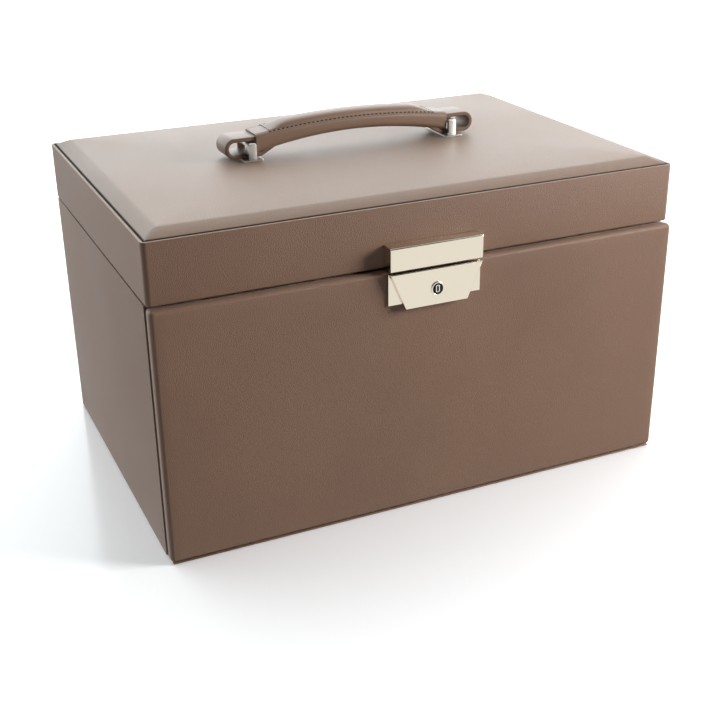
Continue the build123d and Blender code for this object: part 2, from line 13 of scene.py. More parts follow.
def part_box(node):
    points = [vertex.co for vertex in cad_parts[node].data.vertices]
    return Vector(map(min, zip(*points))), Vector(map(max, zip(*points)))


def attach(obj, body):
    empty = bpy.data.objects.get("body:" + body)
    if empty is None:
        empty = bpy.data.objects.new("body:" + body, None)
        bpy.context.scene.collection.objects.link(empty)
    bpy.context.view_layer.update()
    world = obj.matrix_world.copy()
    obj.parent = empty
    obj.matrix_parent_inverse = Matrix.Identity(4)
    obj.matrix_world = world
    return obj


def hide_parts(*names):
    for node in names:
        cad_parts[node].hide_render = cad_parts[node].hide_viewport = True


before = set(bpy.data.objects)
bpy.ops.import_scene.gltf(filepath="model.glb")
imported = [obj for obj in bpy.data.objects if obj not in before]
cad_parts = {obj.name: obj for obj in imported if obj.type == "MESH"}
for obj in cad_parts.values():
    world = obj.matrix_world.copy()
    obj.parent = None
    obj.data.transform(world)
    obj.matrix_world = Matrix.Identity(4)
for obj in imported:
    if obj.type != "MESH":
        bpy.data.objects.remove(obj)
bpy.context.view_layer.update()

MM = 0.001

# %% [markdown]
# Most edges of a leather case are folded, turned or polished, and none is razor sharp.
# A copy of an engineering node can be softened: join its triangles, dissolve the flat
# ones into whole faces, and bevel every edge that turns a real corner. That keeps the
# true size and gives each edge the small highlight that makes it look made, not drawn.

# %% Helpers that register pieces and print what was made
SMOOTH_ANGLE = math.radians(40)
made = []
told = []


def piece(bm, name, body, materials, stands_for=(), flat=False):
    """Turn a bmesh into a finished object that rides on a body."""
    mesh = bpy.data.meshes.new(name)
    bm.to_mesh(mesh)
    bm.free()
    for mat in materials:
        mesh.materials.append(mat)
    for poly in mesh.polygons:
        poly.use_smooth = not flat
    if not flat:
        mesh.set_sharp_from_angle(angle=SMOOTH_ANGLE)
    obj = bpy.data.objects.new(name, mesh)
    bpy.context.scene.collection.objects.link(obj)
    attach(obj, body)
    if stands_for:
        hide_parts(*stands_for)
    made.append((name, len(mesh.polygons)))
    return obj


def tell(title):
    """Print the pieces, with their faces, that were made since the last call."""
    print(title, made[len(told):])
    told[:] = made


# %% Helpers that cut and soften shapes
BEVEL_ANGLE = math.radians(25)
FLAT_ANGLE = math.radians(0.5)
WELD = 0.002 * MM
TINY = 0.01 * MM


def merged_copy(node):
    """A bmesh of a node's shape with its triangles joined into whole faces."""
    bm = bmesh.new()
    bm.from_mesh(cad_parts[node].data)
    bmesh.ops.remove_doubles(bm, verts=bm.verts, dist=WELD)
    bmesh.ops.dissolve_limit(bm, angle_limit=FLAT_ANGLE, verts=bm.verts, edges=bm.edges)
    return bm


def corner_edges(bm):
    """Edges where two faces meet at a real corner."""
    return [e for e in bm.edges if len(e.link_faces) == 2 and e.calc_face_angle(0) > BEVEL_ANGLE]


def round_edges(bm, edges, width, segments=3):
    """Round edges with a bevel of a few faces."""
    bmesh.ops.bevel(bm, geom=edges, offset=width, affect="EDGES", segments=segments,
                    profile=0.5, material=-1, clamp_overlap=True)


def softened(node, body, material, width):
    """A node's own shape with small rounded edges."""
    bm = merged_copy(node)
    round_edges(bm, corner_edges(bm), width)
    piece(bm, node + "_soft", body, [material], [node])


def block(lo, hi):
    """A bmesh box between two corners."""
    bm = bmesh.new()
    bmesh.ops.create_cube(bm, size=1)
    size = Vector(hi) - Vector(lo)
    bmesh.ops.scale(bm, vec=size, verts=bm.verts)
    bmesh.ops.translate(bm, vec=(Vector(lo) + Vector(hi)) / 2, verts=bm.verts)
    return bm


def slice_along(bm, axis, places):
    """Cut straight across at each place, so that the shape can bend there."""
    normal = Vector((0, 0, 0))
    normal[axis] = 1
    for place in places:
        geom = bm.verts[:] + bm.edges[:] + bm.faces[:]
        bmesh.ops.bisect_plane(bm, geom=geom, plane_co=normal * place, plane_no=normal)


def spread(lo, hi, count):
    """Evenly spaced places strictly between two ends."""
    return [lo + (hi - lo) * i / count for i in range(1, count)]


print("helpers ready: piece, tell, merged_copy, round_edges, softened, block, slice_along, spread")

# %% [markdown]
# Colours are given as sRGB hex values, because that is how a swatch is read, and one
# function turns them into the linear values that the shader expects. Another small
# function adds a node with its settings and links, which keeps each material short.

# %% Colour and node helpers
def linear(code):
    """sRGB hex to a linear RGBA tuple."""
    parts = [int(code[i:i + 2], 16) / 255 for i in (0, 2, 4)]
    return tuple(c / 12.92 if c < 0.04045 else ((c + 0.055) / 1.055) ** 2.4 for c in parts) + (1.0,)


def add(tree, kind, settings=None, inputs=None):
    """Add one node, set its properties and fill or link its inputs."""
    node = tree.nodes.new(kind)
    for key, value in (settings or {}).items():
        setattr(node, key, value)
    for key, value in (inputs or {}).items():
        if isinstance(value, bpy.types.NodeSocket):
            tree.links.new(value, node.inputs[key])
        else:
            node.inputs[key].default_value = value
    return node


def new_material(name, roughness, metallic=0.0, base=None, **sockets):
    """A Principled material with its uniform values on the shader's own sockets."""
    mat = bpy.data.materials.new(name)
    mat.use_nodes = True
    shader = mat.node_tree.nodes["Principled BSDF"]
    shader.inputs["Roughness"].default_value = roughness
    shader.inputs["Metallic"].default_value = metallic
    if base:
        shader.inputs["Base Color"].default_value = linear(base)
        mat.diffuse_color = linear(base)
    for key, value in sockets.items():
        shader.inputs[key.replace("_", " ")].default_value = value
    return mat, mat.node_tree, shader


def mixed(tree, factor, a, b):
    """A colour between two hex colours."""
    node = add(tree, "ShaderNodeMix", {"data_type": "RGBA"}, {0: factor})
    node.inputs[6].default_value = linear(a)
    node.inputs[7].default_value = linear(b)
    return node.outputs[2]


def ramped(tree, value, low, high, out_low=0.0, out_high=1.0):
    """Stretch a range of values on to another."""
    return add(tree, "ShaderNodeMapRange", None,
               {"Value": value, "From Min": low, "From Max": high,
                "To Min": out_low, "To Max": out_high}).outputs["Result"]


def bumped(tree, shader, height, distance, strength=1.0):
    """Send a height pattern to the shader's normal, with its depth in metres."""
    bump = add(tree, "ShaderNodeBump", None,
               {"Height": height, "Distance": distance, "Strength": strength})
    tree.links.new(bump.outputs["Normal"], shader.inputs["Normal"])


print("a mid grey, hex 808080, is linear", round(linear("808080")[0], 3))

# %% [markdown]
# Smooth calf leather with a satin pigment finish. The eye reads three things: a fine
# pebble grain, faint cloudy changes of tone from the dye, and a soft broad highlight
# because the finish is satin. Real grain is about 0.5 mm across and is drawn here at
# 0.8 mm, so that it shows. It is a Voronoi cell pattern broken up with noise, used only
# as a small bump. The strap leather is a little darker and smoother, and its cut edges
# are burnished. Three copies carry painted light: the lid's is tinted greyer as a
# painted sheen, the flap edge's is paler as a painted highlight, and the groove edge's
# is near black as painted shade.

# %% Leather
GRAIN_MM = 0.8
POCK_MM = 0.35
CLOUD_MM = 70.0
GRAIN_DEPTH_MM = 0.1


def leather(name, dark, light, roughness=0.46, depth=GRAIN_DEPTH_MM):
    """Leather between two tones, with its grain depth in millimetres."""
    mat, tree, shader = new_material(name, roughness, base=light, Specular_IOR_Level=0.42,
                                     Sheen_Weight=0.06, Sheen_Roughness=0.5)
    place = add(tree, "ShaderNodeTexCoord").outputs["Object"]
    cloud = add(tree, "ShaderNodeTexNoise", None,
                {"Vector": place, "Scale": 1 / (CLOUD_MM * MM), "Detail": 4.0, "Roughness": 0.55})
    fine = add(tree, "ShaderNodeTexNoise", None,
               {"Vector": place, "Scale": 1 / (POCK_MM * MM), "Detail": 2.0})
    cells = add(tree, "ShaderNodeTexVoronoi", {"feature": "DISTANCE_TO_EDGE"},
                {"Vector": place, "Scale": 1 / (GRAIN_MM * MM), "Randomness": 1.0})
    tone = ramped(tree, cloud.outputs["Fac"], 0.3, 0.7)
    speck = ramped(tree, fine.outputs["Fac"], 0.35, 0.65, 0.0, 0.12)
    both = add(tree, "ShaderNodeMath", {"operation": "ADD", "use_clamp": True},
               {0: tone, 1: speck})
    tree.links.new(mixed(tree, both.outputs[0], dark, light), shader.inputs["Base Color"])
    rough = ramped(tree, cloud.outputs["Fac"], 0.3, 0.7, roughness - 0.04, roughness + 0.05)
    tree.links.new(rough, shader.inputs["Roughness"])
    crease = ramped(tree, cells.outputs["Distance"], 0.0, 0.22)
    height = add(tree, "ShaderNodeMath", {"operation": "MULTIPLY_ADD"},
                 {0: fine.outputs["Fac"], 1: 0.35, 2: crease})
    bumped(tree, shader, height.outputs[0], depth * MM, 0.7)
    return mat


case_leather = leather("taupe_calf_leather", "81624E", "896954")
# The lid's copy of the leather, tinted greyer than the case's: a painted sheen.
sheen_tinted_lid_leather = leather("taupe_calf_leather_lid_painted_sheen", "816653", "896E5B", 0.42)
handle_leather = leather("taupe_strap_leather", "7A5F4D", "856A57", 0.36, 0.07)
# Paler leather for the flap's edge strip: a painted highlight for the light from the left.
edge_leather = leather("pale_edge_leather_painted_highlight", "917D6E", "A69384", 0.55)
raw_edge = leather("burnished_strap_edge", "5E4638", "71574A", 0.5)
# Near-black leather for the lid pad's glued edge: painted shade in the groove.
groove_shade_leather = leather("lid_groove_painted_shade_leather", "1E1612", "2C211C", 0.7)
pull_leather = leather("dark_strap_leather", "5F4C41", "6E594D")
print("leathers", [mat.name for mat in (case_leather, sheen_tinted_lid_leather, handle_leather, edge_leather,
                                        raw_edge, groove_shade_leather, pull_leather)])

# %% [markdown]
# Suede lining: a short brushed nap. It has no highlight, a velvety rim from sheen, and
# patches where the nap lies the other way, which a wide, slow noise gives.

# %% Suede and felt
NAP_MM = 0.5
BRUSH_MM = 35.0


def napped(name, dark, light, nap_mm=NAP_MM, sheen=0.5):
    """Short nap between two tones, brushed in patches."""
    mat, tree, shader = new_material(name, 0.95, base=light, Specular_IOR_Level=0.15,
                                     Sheen_Weight=sheen, Sheen_Roughness=0.35)
    place = add(tree, "ShaderNodeTexCoord").outputs["Object"]
    patch = add(tree, "ShaderNodeTexNoise", None,
                {"Vector": place, "Scale": 1 / (BRUSH_MM * MM), "Detail": 3.0})
    nap = add(tree, "ShaderNodeTexNoise", None,
              {"Vector": place, "Scale": 1 / (nap_mm * MM), "Detail": 5.0, "Roughness": 0.7})
    brushed = ramped(tree, patch.outputs["Fac"], 0.3, 0.7, 0.0, 0.3)
    mixing = add(tree, "ShaderNodeMath", {"operation": "MULTIPLY_ADD"},
                 {0: nap.outputs["Fac"], 1: 0.7, 2: brushed})
    tree.links.new(mixed(tree, mixing.outputs[0], dark, light), shader.inputs["Base Color"])
    bumped(tree, shader, nap.outputs["Fac"], nap_mm * 0.4 * MM, 0.6)
    return mat


suede = napped("cream_suede_lining", "B7A894", "D2C5B3")
roll_suede = napped("cream_suede_rolls", "BDAF9C", "DACEBD")
felt = napped("charcoal_felt", "2C2825", "423C37", 0.9, 0.3)
print("linings", suede.name, roll_suede.name, felt.name)

# %% [markdown]
# The lock is zinc alloy, polished and plated a pale champagne. Polished plating is a
# metal with a low roughness; very fine polishing lines, stretched along X, keep its
# highlight from looking like a mirror. The brackets are bright nickel, a little softer.
# The key barrel is black enamel, the mirror is silvered glass, and the boards are
# pressed fibre: pale brown, dry and speckled.

# %% Metals, mirror, board and thread
POLISH_MM = 0.25
POLISH_DEPTH_MM = 0.002
FIBRE_MM = 1.2
FIBRE_DEPTH_MM = 0.05


def plated(name, colour, roughness, lines=0.04, stretch=40.0):
    """Plated metal with fine lines along X."""
    mat, tree, shader = new_material(name, roughness, 1.0, colour)
    place = add(tree, "ShaderNodeTexCoord").outputs["Object"]
    scaled = add(tree, "ShaderNodeMapping", None, {"Vector": place, "Scale": (1 / stretch, 1, 1)})
    streak = add(tree, "ShaderNodeTexNoise", None,
                 {"Vector": scaled.outputs["Vector"], "Scale": 1 / (POLISH_MM * MM), "Detail": 3.0})
    rough = ramped(tree, streak.outputs["Fac"], 0.3, 0.7, roughness - lines, roughness + lines)
    tree.links.new(rough, shader.inputs["Roughness"])
    bumped(tree, shader, streak.outputs["Fac"], POLISH_DEPTH_MM * MM, 0.3)
    return mat


champagne = plated("champagne_plated_zinc", "ECE2CF", 0.2)
nickel = plated("polished_nickel_plate", "F4F2EC", 0.3, 0.03)
zinc = plated("zinc_plated_steel", "A8A6A2", 0.36, 0.08, 15.0)
black_enamel, _, _ = new_material("black_gloss_enamel", 0.25, base="0A0909",
                                  Specular_IOR_Level=0.25)
mirror, _, _ = new_material("silvered_mirror_glass", 0.02, 1.0, "EEF2F3")


def fibreboard():
    """Pressed wood fibre."""
    mat, tree, shader = new_material("pressed_fibreboard", 0.85, base="A98B66")
    place = add(tree, "ShaderNodeTexCoord").outputs["Object"]
    fibre = add(tree, "ShaderNodeTexNoise", None,
                {"Vector": place, "Scale": 1 / (FIBRE_MM * MM), "Detail": 6.0})
    tree.links.new(mixed(tree, fibre.outputs["Fac"], "8F7352", "BFA27C"), shader.inputs["Base Color"])
    bumped(tree, shader, fibre.outputs["Fac"], FIBRE_DEPTH_MM * MM, 0.5)
    return mat


board = fibreboard()
thread, _, _ = new_material("waxed_linen_thread", 0.8, base="1C1411", Specular_IOR_Level=0.3)
print("hard finishes", [mat.name for mat in (champagne, nickel, zinc, black_enamel, mirror, board)])

# %% [markdown]
# The body of the case is board wrapped in leather. The wrap's folded edges are what
# shows, so each wrap is a softened copy of its node, with about 0.5 mm of rounding. One
# narrow strip is extra: it covers the raw front edge of the base board, which a real
# maker would never leave bare.

# %% Leather wraps of the carcass, lid and flap
SILL_THICK = 0.9 * MM
SILL_ROUND = 0.3 * MM
wraps = [("carcass_leather", "carcass", case_leather, "case_leather", 0.5 * MM),
         ("base_leather", "carcass", case_leather, "case_leather", 0.4 * MM),
         # The flap's edge strip uses the paler leather, which is a painted highlight.
         ("flap_edge_leather", "flap", edge_leather, "edge_leather", 0.5 * MM),
         ("lid_leather", "lid", case_leather, "case_leather", 0.5 * MM)]
for node, body, mat, slot, width in wraps:
    softened(node, body, mat, width)


def make_sill():
    """Leather over the front edge of the base board, seen when the flap is down."""
    lo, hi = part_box("base_board")
    side_lo, side_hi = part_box("carcass_lining")
    bm = block((side_lo.x, lo.y - SILL_THICK, lo.z), (side_hi.x, lo.y, hi.z))
    round_edges(bm, corner_edges(bm), SILL_ROUND)
    piece(bm, "sill_wrap", "carcass", [case_leather])


make_sill()
tell("wraps")

# %% [markdown]
# The lid's top is foam under leather, glued down in the narrow groove behind the rim. It
# comes out of the groove, where its edge is painted near black as painted shade, climbs
# over a bevel band with a crisp mitre fold at each corner, then levels off to a low
# crown. A cloth simulation would blur that fold, so a flat grid is cut into rows and
# lifted by a formula. The height depends only on the distance to the nearest edge, so
# the fold appears on the corner's diagonal, where the nearest edge changes. Rows are
# placed by that same distance in both directions, which puts points exactly on the
# diagonal and keeps the fold straight.

# %% Lid pad's height
BAND = 9.0 * MM
BAND_RISE = 3.7 * MM
GROOVE_RISE = 1.2 * MM
GROOVE_RUN = 0.5 * MM
CROWN_REACH = 30 * MM
CROWN_START = 0.7 * BAND
BAND_CURVE = 1.45


def pad_height(inset, rise):
    """Height of the padded leather above its glued edge, from the distance to the edge."""
    groove = GROOVE_RISE * math.sin(min(inset / GROOVE_RUN, 1.0) * math.pi / 2)
    band = BAND_RISE * (1 - (1 - min(inset / BAND, 1.0)) ** BAND_CURVE)
    crown = 1 - math.exp(-max(inset - CROWN_START, 0.0) / CROWN_REACH)
    return groove + band + (rise - GROOVE_RISE - BAND_RISE) * crown


for at_mm in (0.5, 4.5, 9, 30, 100):
    print("pad", at_mm, "mm in:", round(pad_height(at_mm * MM, 7 * MM) / MM, 2), "mm of 7")

# %% Lid pad
EDGE_ROWS_MM = [0.12, 0.28, 0.5, 1.2, 2.6, 3.8, 5.0, 6.2, 7.2, 8.1, 9.0, 10.0, 11.2, 12.8, 15,
                18, 22, 27, 33, 40, 48]
MIDDLE_ROWS_X, MIDDLE_ROWS_Y = 24, 14
PAD_SKIRT = 0.2 * MM
# Width of the near-black strip at the pad's glued edge, which is painted shade in the groove.
PAINTED_SHADE_BAND = 0.4 * MM
FOLD_DEPTH = 0.4 * MM


def pad_rows(half, middle):
    """Places from one edge to the other: close at both edges, even between."""
    near = [i * MM - half for i in EDGE_ROWS_MM]
    return near + spread(near[-1], -near[-1], middle) + [-n for n in near]


def on_mitre(v, half_x, half_y):
    """Whether a point lies on a corner's diagonal."""
    return abs((half_x - abs(v.co.x)) - (half_y - abs(v.co.y))) < TINY


def make_lid_pad():
    """Padded leather over the lid's foam, closed underneath."""
    lo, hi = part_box("lid_pad_leather")
    half_x, half_y = (hi.x - lo.x) / 2, (hi.y - lo.y) / 2
    bm = bmesh.new()
    bmesh.ops.create_grid(bm, x_segments=1, y_segments=1, size=1)
    bmesh.ops.scale(bm, vec=(half_x, half_y, 1), verts=bm.verts)
    slice_along(bm, 0, pad_rows(half_x, MIDDLE_ROWS_X))
    slice_along(bm, 1, pad_rows(half_y, MIDDLE_ROWS_Y))
    for v in bm.verts:
        inset = max(min(half_x - abs(v.co.x), half_y - abs(v.co.y)), 0.0)
        v.co.z = lo.z + pad_height(inset, hi.z - lo.z)
        if on_mitre(v, half_x, half_y) and inset < BAND:
            v.co.z -= FOLD_DEPTH * math.sin(math.pi * inset / BAND)
    # Faces this close to the glued edge get the near-black leather, which is painted shade in the
    # groove.
    for f in bm.faces:
        middle = f.calc_center_median()
        near = min(half_x - abs(middle.x), half_y - abs(middle.y))
        f.material_index = 1 if near < PAINTED_SHADE_BAND else 0
    on_fold = [f for f in bm.faces if sum(on_mitre(v, half_x, half_y) for v in f.verts) > 1]
    bmesh.ops.triangulate(bm, faces=on_fold, quad_method="LONG_EDGE")
    skirt = bmesh.ops.extrude_edge_only(bm, edges=[e for e in bm.edges if e.is_boundary])["geom"]
    down = [g for g in skirt if isinstance(g, bmesh.types.BMVert)]
    bmesh.ops.translate(bm, vec=(0, 0, -PAD_SKIRT), verts=down)
    bmesh.ops.holes_fill(bm, edges=[e for e in bm.edges if e.is_boundary], sides=0)
    bmesh.ops.recalc_face_normals(bm, faces=bm.faces)
    # The lid top wears the greyer leather, a painted sheen, and its groove edge the near-black one,
    # painted shade.
    pad = piece(bm, "lid_pad", "lid", [sheen_tinted_lid_leather, groove_shade_leather],
                ["lid_pad_leather", "lid_foam"])


make_lid_pad()
tell("lid pad")

# %% [markdown]
# The flap's face is leather over thin foam on a board. It is almost flat, with softly
# rolled edges, so a crown of well under a millimetre is enough to move the highlight as a
# real padded panel does. It starts as a box with rounded edges, cut into a grid so that
# the crown can bend it.

# %% Flap face
FLAP_ROLL = 2.4 * MM
FLAP_CROWN = 0.35 * MM
FLAP_CORNER = 2.5 * MM


def make_flap_face():
    """Padded leather on the front of the flap."""
    lo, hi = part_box("flap_leather")
    bm = block(lo, hi)
    upright = [e for e in bm.edges if abs(e.verts[0].co.y - e.verts[1].co.y) > MM]
    round_edges(bm, upright, FLAP_CORNER, 6)
    front = [e for e in bm.edges if all(abs(v.co.y - lo.y) < TINY for v in e.verts)]
    round_edges(bm, front, FLAP_ROLL, 6)
    slice_along(bm, 0, spread(lo.x, hi.x, 40))
    slice_along(bm, 2, spread(lo.z, hi.z, 20))
    centre = (lo + hi) / 2
    half = (hi - lo) / 2
    for v in bm.verts:
        if v.co.y < lo.y + FLAP_ROLL:
            u = (v.co.x - centre.x) / half.x
            w = (v.co.z - centre.z) / half.z
            v.co.y += FLAP_CROWN * (1 - (1 - u ** 4) * (1 - w ** 4))
    face = piece(bm, "flap_face", "flap", [case_leather],
                 ["flap_leather", "flap_foam"])


make_flap_face()
tell("flap face")

# %% [markdown]
# The lock is an upper housing on the lid, and a tapered lever on the flap with a round
# key barrel. Die-cast and polished, it has crisp edges with a radius of 0.1 to 0.35 mm,
# just enough for a bright line. The bright ring round the key slot is a small block,
# inset and pressed in.

# %% Lock
KEYWAY_HALF_WIDTH = 1.15 * MM
KEYWAY_HALF_HEIGHT = 2.1 * MM
KEYWAY_PROUD = 0.12 * MM
KEYWAY_ROUND = 0.8 * MM
KEYWAY_RIM = 0.5 * MM
KEYWAY_SUNK = 0.9

for node, body, mat, slot, width in [
        ("lock_block", "lid", champagne, "lock_metal", 0.35 * MM),
        ("lock_plate", "flap", champagne, "lock_metal", 0.2 * MM),
        ("lock_lever", "latch", champagne, "lock_metal", 0.12 * MM),
        ("barrel_ring", "latch", champagne, "lock_metal", 0.15 * MM),
        ("lock_barrel", "key_barrel", black_enamel, "barrel_metal", 0.12 * MM)]:
    softened(node, body, mat, width)


def make_keyway():
    """Bright plug face round the key slot."""
    lo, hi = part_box("lock_barrel")
    centre = (lo + hi) / 2
    bm = block((centre.x - KEYWAY_HALF_WIDTH, lo.y - KEYWAY_PROUD, centre.z - KEYWAY_HALF_HEIGHT),
               (centre.x + KEYWAY_HALF_WIDTH, lo.y, centre.z + KEYWAY_HALF_HEIGHT))
    along_y = [e for e in bm.edges if abs(e.verts[0].co.y - e.verts[1].co.y) > KEYWAY_PROUD / 2]
    round_edges(bm, along_y, KEYWAY_ROUND, 5)
    front = [f for f in bm.faces if f.normal.y < -0.9]
    bmesh.ops.inset_region(bm, faces=front, thickness=KEYWAY_RIM)
    bmesh.ops.translate(bm, vec=(0, KEYWAY_PROUD * KEYWAY_SUNK, 0),
                        verts=list({v for f in front for v in f.verts}))
    for f in front:
        f.material_index = 1
    piece(bm, "keyway_face", "key_barrel", [nickel, black_enamel], flat=True)


make_keyway()
tell("lock")

# %% [markdown]
# The brackets are nickel staples: a foot plate and a flat hoop whose bar the strap passes
# under. Their engineering shape is right, so they only need softer edges.

# %% Brackets
for side in ("left", "right"):
    softened("handle_bracket_" + side, "lid", nickel, 0.3 * MM)
tell("brackets")

# %% [markdown]
# The handle is one long strap that runs round each bracket's bar and back under a leather
# cover. The cover is folded round the strap with square ends and round shoulders, and its
# middle is raised over a soft core and stitched down on both sides. It starts as a long
# straight box, the stock. The box has its edges rounded and is cut across so that it can
# bend, and then every point is moved on to the arch between a lower and an upper curve.

# %% Curves of the grip cover
GRIP_STOCK = 10 * MM
GRIP_ROUND = 2.6 * MM
RAISED_HALF = 7.4 * MM
RAISED_RISE = 3.4 * MM
RAISED_RAMP = 15 * MM
RAISED_START = 9.0 * MM

grip_lo, grip_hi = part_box("handle_grip")
grip_half = (grip_hi.x - grip_lo.x) / 2
grip_mid_x = (grip_hi.x + grip_lo.x) / 2
END_BOTTOM = grip_lo.z
END_TOP = grip_lo.z + 11.2 * MM
MID_BOTTOM = grip_lo.z + 7.4 * MM
MID_TOP = grip_hi.z


def arch(x, end, middle):
    """Height of a shallow arc that has these heights at its end and middle."""
    t = (x - grip_mid_x) / grip_half
    return middle - (middle - end) * t * t


def raised(x, y):
    """Extra height of the stitched middle."""
    from_end = grip_half - abs(x - grip_mid_x)
    along = math.sin(min(max((from_end - RAISED_START) / RAISED_RAMP, 0), 1) * math.pi / 2)
    across = min(abs(y) / RAISED_HALF, 1.0)
    return RAISED_RISE * along * math.sqrt(max(1 - across ** 3, 0.0))


def grip_top(x, y):
    """Top of the cover: its rounded shoulders and the raised middle between them."""
    plain = arch(x, END_TOP, MID_TOP - RAISED_RISE)
    past_flat = max(abs(y) - (grip_hi.y - GRIP_ROUND), 0.0)
    shoulder = GRIP_ROUND - math.sqrt(GRIP_ROUND ** 2 - past_flat ** 2)
    squeeze = (plain - arch(x, END_BOTTOM, MID_BOTTOM)) / GRIP_STOCK
    return plain - shoulder * squeeze + raised(x, y)


print("grip top, end and middle, mm", round(grip_top(grip_lo.x, 0) / MM, 1),
      round(grip_top(grip_mid_x, 0) / MM, 1))

# %% Grip cover
GRIP_BELLY_ROUND = 3.6 * MM
GRIP_SEAM_DEPTH = 0.35 * MM
GRIP_CUTS = 64
RAISED_ROWS = (-1.06, -1, -0.94, -0.8, -0.6, -0.3, 0, 0.3, 0.6, 0.8, 0.94, 1, 1.06)
TOP_SHARE = 0.99


def long_edges(bm, low, high):
    """The stock's lengthwise edges between two heights."""
    return [e for e in bm.edges if abs(e.verts[0].co.x - e.verts[1].co.x) > GRIP_STOCK
            and low < e.verts[0].co.z < high]


def make_grip():
    """Arched cover with its raised middle and the seams beside it."""
    bm = block((grip_lo.x, grip_lo.y, 0), (grip_hi.x, grip_hi.y, GRIP_STOCK))
    round_edges(bm, long_edges(bm, GRIP_STOCK / 2, GRIP_STOCK * 2), GRIP_ROUND, 6)
    round_edges(bm, long_edges(bm, -MM, 0.1 * MM), GRIP_BELLY_ROUND, 6)
    slice_along(bm, 0, spread(grip_lo.x, grip_hi.x, GRIP_CUTS))
    slice_along(bm, 1, [RAISED_HALF * row for row in RAISED_ROWS])
    for v in bm.verts:
        share = v.co.z / GRIP_STOCK
        low = arch(v.co.x, END_BOTTOM, MID_BOTTOM)
        high = arch(v.co.x, END_TOP, MID_TOP - RAISED_RISE)
        lift, seam = 0.0, 0.0
        if share > TOP_SHARE:
            lift = raised(v.co.x, v.co.y)
            seam = GRIP_SEAM_DEPTH if abs(abs(v.co.y) - RAISED_HALF) < 5 * TINY else 0.0
        v.co.z = low + (high - low) * share + lift - seam
    grip = piece(bm, "grip_cover", "handle", [handle_leather], ["handle_grip"])


make_grip()
tell("grip")

# %% [markdown]
# Stitches are real thread on the surface, so each is a tiny rounded bead pressed into the
# leather. One low sphere of 20 faces is made, stretched and laid along the seam again and
# again, tilted to follow the arch.

# %% Stitches
STITCH_PITCH = 2.7 * MM
STITCH_SIZE = (0.95 * MM, 0.45 * MM, 0.36 * MM)
STITCH_ROW = 8.5 * MM
STITCH_PROUD = 0.1 * MM


def stitch(bm, place, turn, tilt):
    """One stitch, turned in plan and tilted with the slope."""
    bead = bmesh.ops.create_icosphere(bm, subdivisions=1, radius=1)["verts"]
    bmesh.ops.scale(bm, vec=STITCH_SIZE, verts=bead)
    bmesh.ops.rotate(bm, cent=(0, 0, 0), matrix=Matrix.Rotation(tilt, 3, "Y"), verts=bead)
    bmesh.ops.rotate(bm, cent=(0, 0, 0), matrix=Matrix.Rotation(turn, 3, "Z"), verts=bead)
    bmesh.ops.translate(bm, vec=place, verts=bead)


def make_grip_stitches():
    """A row of stitches down each side and one across each end of the raised middle."""
    bm = bmesh.new()
    run = grip_half - RAISED_START
    count = int(2 * run / STITCH_PITCH)
    for row in (-STITCH_ROW, STITCH_ROW):
        for i in range(count + 1):
            x = grip_mid_x - run + 2 * run * i / count
            slope = (grip_top(x + MM, row) - grip_top(x - MM, row)) / (2 * MM)
            stitch(bm, (x, row, grip_top(x, row) + STITCH_PROUD), 0.0, -math.atan(slope))
    across = int(2 * STITCH_ROW / STITCH_PITCH)
    for end in (-1, 1):
        x = grip_mid_x + end * run
        for i in range(1, across):
            y = -STITCH_ROW + 2 * STITCH_ROW * i / across
            stitch(bm, (x, y, grip_top(x, y) + STITCH_PROUD), math.pi / 2, 0.0)
    piece(bm, "grip_stitches", "handle", [thread])


make_grip_stitches()
tell("stitches")

# %% [markdown]
# The strap loops keep the engineering shape. Their cut edges are burnished darker than
# their faces, so the faces that look along the bar get the second material.

# %% Strap loops
LOOP_ROUND = 0.55 * MM


def make_loop(side):
    """One strap end, with its cut edges in the darker finish."""
    node = "handle_loop_" + side
    bm = merged_copy(node)
    for f in bm.faces:
        f.material_index = 1 if abs(f.normal.y) > 0.9 else 0
    round_edges(bm, corner_edges(bm), LOOP_ROUND)
    piece(bm, "strap_" + side, "handle", [handle_leather, raw_edge], [node])


for side in ("left", "right"):
    make_loop(side)
tell("strap loops")

# %% [markdown]
# Inside the case is a bed of soft ring rolls. Each roll is a foam sausage in suede, so it
# bulges between its ends. A short cloth simulation with air pressure inside gives that
# bulge. The block starts a little small, and no point may move further than the cap, so
# the rolls don't grow into each other.

# %% Ring rolls
ROLL_COUNT = 8
ROLL_CAP = 1.2 * MM
ROLL_GAP = 0.2 * MM
ROLL_ROUND = 6 * MM
ROLL_PRESSURE = 3.0
ROLL_FRAMES = 12


def inflate(obj, pressure, cap, frames):
    """Blow an object up with cloth pressure, cap the movement and keep the result."""
    before = [v.co.copy() for v in obj.data.vertices]
    cloth = obj.modifiers.new("blow", "CLOTH")
    cloth.settings.use_pressure = True
    cloth.settings.uniform_pressure_force = pressure
    cloth.settings.effector_weights.gravity = 0
    cloth.settings.quality = 5
    scene = bpy.context.scene
    for number in range(1, frames + 1):
        scene.frame_set(number)
    graph = bpy.context.evaluated_depsgraph_get()
    after = [v.co.copy() for v in obj.evaluated_get(graph).data.vertices]
    obj.modifiers.remove(cloth)
    scene.frame_set(1)
    for v, old, new in zip(obj.data.vertices, before, after):
        move = new - old
        if move.length > cap:
            move *= cap / move.length
        v.co = old + move


